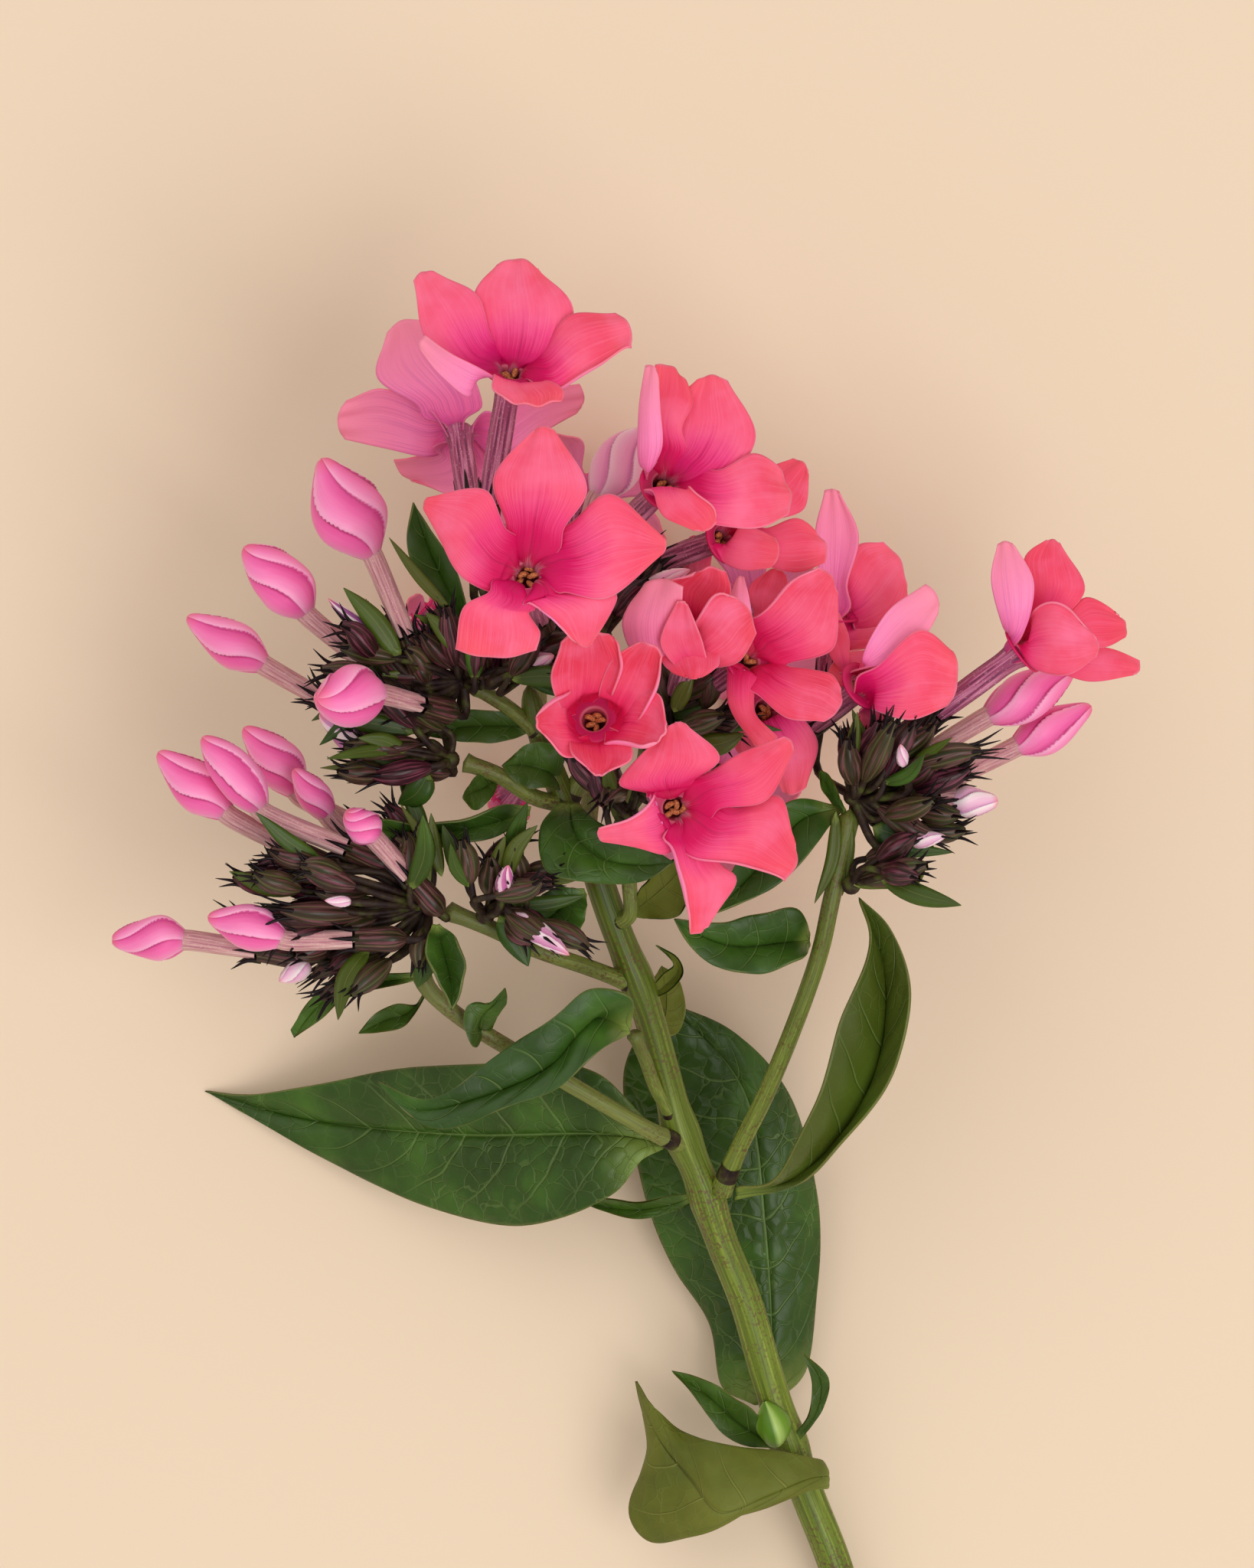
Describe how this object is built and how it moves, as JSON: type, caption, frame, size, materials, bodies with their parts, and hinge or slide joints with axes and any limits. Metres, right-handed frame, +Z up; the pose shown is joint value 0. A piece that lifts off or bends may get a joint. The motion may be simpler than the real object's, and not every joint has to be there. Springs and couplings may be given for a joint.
{
  "type": "garden phlox stem",
  "caption": "Cut stem of garden phlox laid on its back: a head of coral-pink florets and twisted buds, dark calyces and pointed leaves on a ridged green stem.",
  "frame": {"origin": "on the surface that the stem lies on, below the middle of its bounding box", "axes": "+Y along the stem from its cut end to its head, +Z up from the surface to the florets that face the viewer, +X to the right of the head"},
  "size_m": [0.1278, 0.1794, 0.0775],
  "materials": {
    "stem": "satin, ridged, with fine brown flecks",
    "leaf": "satin, puckered between sunk pale veins",
    "petal": "soft matt, coral pink with a magenta throat",
    "bud": "soft matt, pink with pale spiral folds",
    "calyx": "satin, dark aubergine with green seams"
  },
  "bodies": {
    "root": {"bloom_cup": "petal", "bloom_far_right": "petal", "bloom_funnel": "petal", "bloom_half_open": "petal", "bloom_low_star": "petal", "bloom_mid_back": "petal", "bloom_right_back": "petal", "bloom_right_low": "petal", "bloom_side": "petal", "bloom_side_low": "petal", "bloom_star": "petal", "bloom_top": "petal", "bloom_top_back": "petal", "bloom_under_left": "petal", "bloom_under_low": "petal", "bloom_under_low_left": "petal", "bloom_under_right": "petal", "bloom_under_top": "petal", "bud_end_on": "bud", "bud_left_behind": "bud", "bud_left_hidden": "bud", "bud_left_high": "bud", "bud_left_inner": "bud", "bud_left_middle": "bud", "bud_left_outer": "bud", "bud_low_inner": "bud", "bud_low_outer": "bud", "bud_pale_top": "bud", "bud_right_high": "bud", "bud_right_low": "bud", "bud_right_pale": "bud", "bud_striped": "bud", "bud_top_left": "bud", "bud_withered": "bud", "cyme_centre": "calyx", "cyme_front": "calyx", "cyme_left_high": "calyx", "cyme_left_low": "calyx", "cyme_left_middle": "calyx", "cyme_left_small": "calyx", "cyme_right": "calyx", "cyme_right_low": "calyx", "cyme_top": "calyx", "cyme_under": "calyx", "cyme_under_top": "calyx", "cyme_upper_right": "calyx", "leaf_back_large": "leaf", "leaf_behind_left": "leaf", "leaf_behind_stem": "leaf", "leaf_beside_star": "leaf", "leaf_left_front": "leaf", "leaf_left_hanging": "leaf", "leaf_left_large": "leaf", "leaf_left_slim": "leaf", "leaf_low_folded": "leaf", "leaf_right_back": "leaf", "leaf_right_folded": "leaf", "leaf_right_middle": "leaf", "leaf_under_cup": "leaf", "stem": "stem"}
  },
  "joints": []
}
